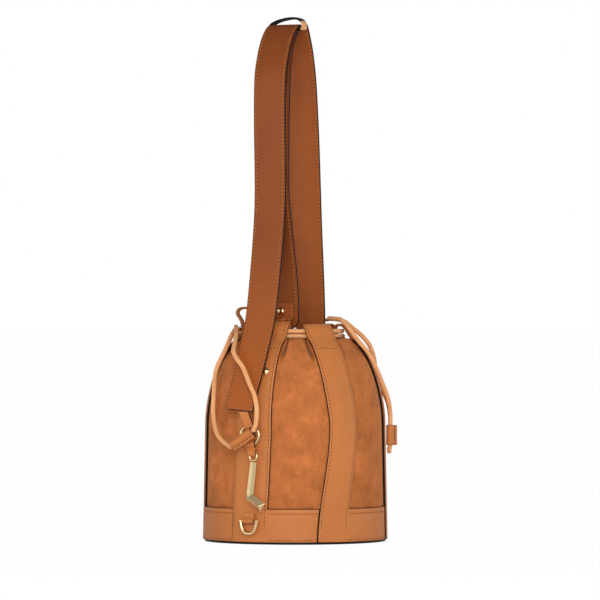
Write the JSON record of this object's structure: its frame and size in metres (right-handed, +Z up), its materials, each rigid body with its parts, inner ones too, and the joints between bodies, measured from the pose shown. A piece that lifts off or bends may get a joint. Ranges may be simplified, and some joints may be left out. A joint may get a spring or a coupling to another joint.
{
  "type": "bucket bag",
  "caption": "Round drawstring bucket bag of suede gores and leather strips, with a tall shoulder strap, a strap tail with ring and hook, base D-rings and drawcord loops.",
  "frame": {"origin": "centre of the flat underside", "axes": "+Z up, -Y towards the front leather strap; the strap tail hangs at azimuth -60 degrees from the front"},
  "size_m": [0.2126, 0.203, 0.5746],
  "materials": {
    "tan_leather": "smooth grained leather with black painted edges",
    "suede": "suede nap",
    "cord_leather": "rolled leather cord",
    "black_leather": "black painted leather",
    "gold_metal": "polished gold plating",
    "lining_cloth": "woven lining",
    "fibre_board": "fibre board"
  },
  "bodies": {
    "bag": {"base_panel": "black_leather", "base_board": "fibre_board", "lining_bag": "lining_cloth", "panel_front": "tan_leather", "panel_right": "tan_leather", "panel_far_side": "tan_leather", "panel_rear": "tan_leather", "panel_left": "tan_leather", "panel_ring_side": "tan_leather", "suede_gore_1": "suede", "suede_gore_2": "suede", "suede_gore_3": "suede", "suede_gore_4": "suede", "suede_gore_5": "suede", "suede_gore_6": "suede", "cord_left_rim": "cord_leather", "cord_right_rim": "cord_leather", "cord_eyelet_left": "gold_metal", "anchor_tab_near": "tan_leather", "anchor_tab_far": "tan_leather", "strap_stud_near": "gold_metal", "strap_stud_far": "gold_metal", "panel_stud": "gold_metal", "base_ring_tab_near": "tan_leather", "base_ring_tab_far": "tan_leather"},
    "shoulder_strap": {"strap_near_leg": "tan_leather", "strap_far_leg": "tan_leather", "apex_loop": "black_leather"},
    "tail": {"strap_tail": "tan_leather", "tail_tab": "tan_leather"},
    "tail_ring": {"tail_ring": "gold_metal"},
    "hook_tab": {"hook_tab": "tan_leather", "hook_eye": "gold_metal"},
    "hook": {"hook": "gold_metal"},
    "base_ring_near": {"base_ring_near": "gold_metal"},
    "base_ring_far": {"base_ring_far": "gold_metal"},
    "cord_left": {"cord_left_loop": "cord_leather", "keeper_left": "tan_leather"},
    "cord_right": {"cord_right_loop": "cord_leather"},
    "keeper_right": {"keeper_right": "tan_leather"}
  },
  "joints": [
    {"name": "strap_swing", "type": "hinge", "parent": "bag", "child": "shoulder_strap", "pos_m": [0, 0, 0.2525], "axis": [-0.866, -0.5, 0], "range_deg": [0, 50]},
    {"name": "tail_sway", "type": "hinge", "parent": "shoulder_strap", "child": "tail", "pos_m": [-0.02252, -0.013, 0.562], "axis": [-0.866, -0.5, 0], "range_deg": [0, 5]},
    {"name": "tail_ring_spin", "type": "hinge", "parent": "tail", "child": "tail_ring", "pos_m": [-0.08912, -0.05665, 0.1185], "axis": [-0.866, -0.5, 0], "continuous": true},
    {"name": "hook_tab_swing", "type": "hinge", "parent": "tail", "child": "hook_tab", "pos_m": [-0.08912, -0.05665, 0.1077], "axis": [-0.5, 0.866, 0], "range_deg": [0, 38]},
    {"name": "hook_swivel", "type": "hinge", "parent": "hook_tab", "child": "hook", "pos_m": [-0.0882, -0.06224, 0.0895], "axis": [0.0619, -0.1071, 0.9923], "range_deg": [-150, 0]},
    {"name": "base_ring_near_flip", "type": "hinge", "parent": "bag", "child": "base_ring_near", "pos_m": [-0.08932, -0.05411, 0.0255], "axis": [-0.5, 0.866, 0], "range_deg": [0, 150]},
    {"name": "base_ring_far_flip", "type": "hinge", "parent": "bag", "child": "base_ring_far", "pos_m": [0.09042, 0.05221, 0.0255], "axis": [0.5, -0.866, 0], "range_deg": [0, 150]},
    {"name": "cord_left_swing", "type": "hinge", "parent": "bag", "child": "cord_left", "pos_m": [-0.05545, 0.02803, 0.233], "axis": [-0.5, 0.866, 0], "range_deg": [0, 30]},
    {"name": "cord_right_swing", "type": "hinge", "parent": "bag", "child": "cord_right", "pos_m": [0.03511, -0.01219, 0.2435], "axis": [-0.5, -0.866, 0], "range_deg": [0, 60]},
    {"name": "keeper_right_slide", "type": "slide", "parent": "cord_right", "child": "keeper_right", "axis": [0, 0, 1], "range_m": [0, 0.01]}
  ]
}
